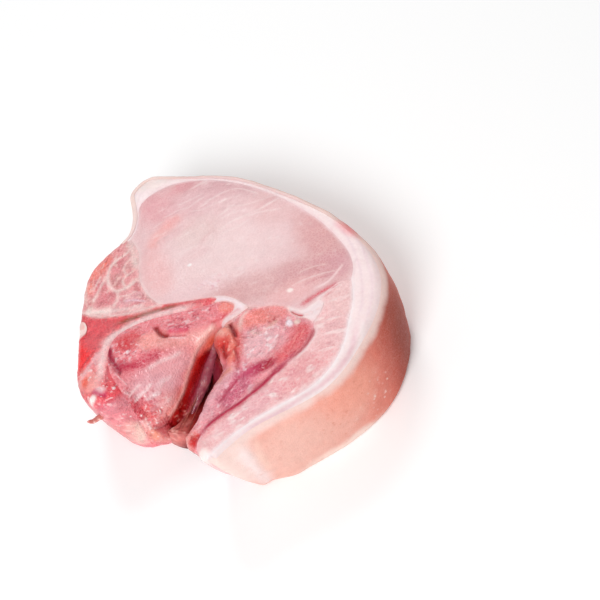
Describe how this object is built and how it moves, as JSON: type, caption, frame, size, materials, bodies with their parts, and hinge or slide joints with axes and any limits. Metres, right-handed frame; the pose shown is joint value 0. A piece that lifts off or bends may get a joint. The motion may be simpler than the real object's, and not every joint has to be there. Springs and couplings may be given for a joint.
{
  "type": "raw pork chop",
  "caption": "Thick raw loin chop lying on a cut face: pale eye muscle, red fillet and flank, T-shaped bone, and a rind and fat edge that curls round the belly side.",
  "frame": {"origin": "centre of the bounding box, at the level the chop lies on", "axes": "+Z out of the upper cut face, +Y towards the pointed fat corner at the animal's back, +X towards the rind's round side"},
  "size_m": [0.1215, 0.1474, 0.0351],
  "materials": {
    "rind_fat": "moist pink-orange rind, waxy white fat at the cut",
    "loin_meat": "wet pale pink cut muscle",
    "chine_meat": "wet orange-pink cut muscle with white seams",
    "bone": "sawn bone, red marrow between pale walls",
    "cord": "soft, white, moist",
    "fillet_meat": "wet red muscle under a silvery membrane",
    "seam_fat": "soft white fat",
    "flank_red_meat": "wet red coarse-grained muscle",
    "flank_pale_meat": "wet pale pink layered muscle",
    "wedge_fat": "soft white fat",
    "cavity_lining": "glossy dark membrane"
  },
  "bodies": {
    "root": {"fat_cap": "rind_fat", "loin_eye": "loin_meat", "chine_muscle": "chine_meat", "vertebra": "bone", "spinal_cord": "cord", "fillet": "fillet_meat", "fillet_fat": "seam_fat", "flank_inner": "flank_red_meat", "flank_outer": "flank_pale_meat", "fat_wedge": "wedge_fat", "cavity_web": "cavity_lining"}
  },
  "joints": []
}
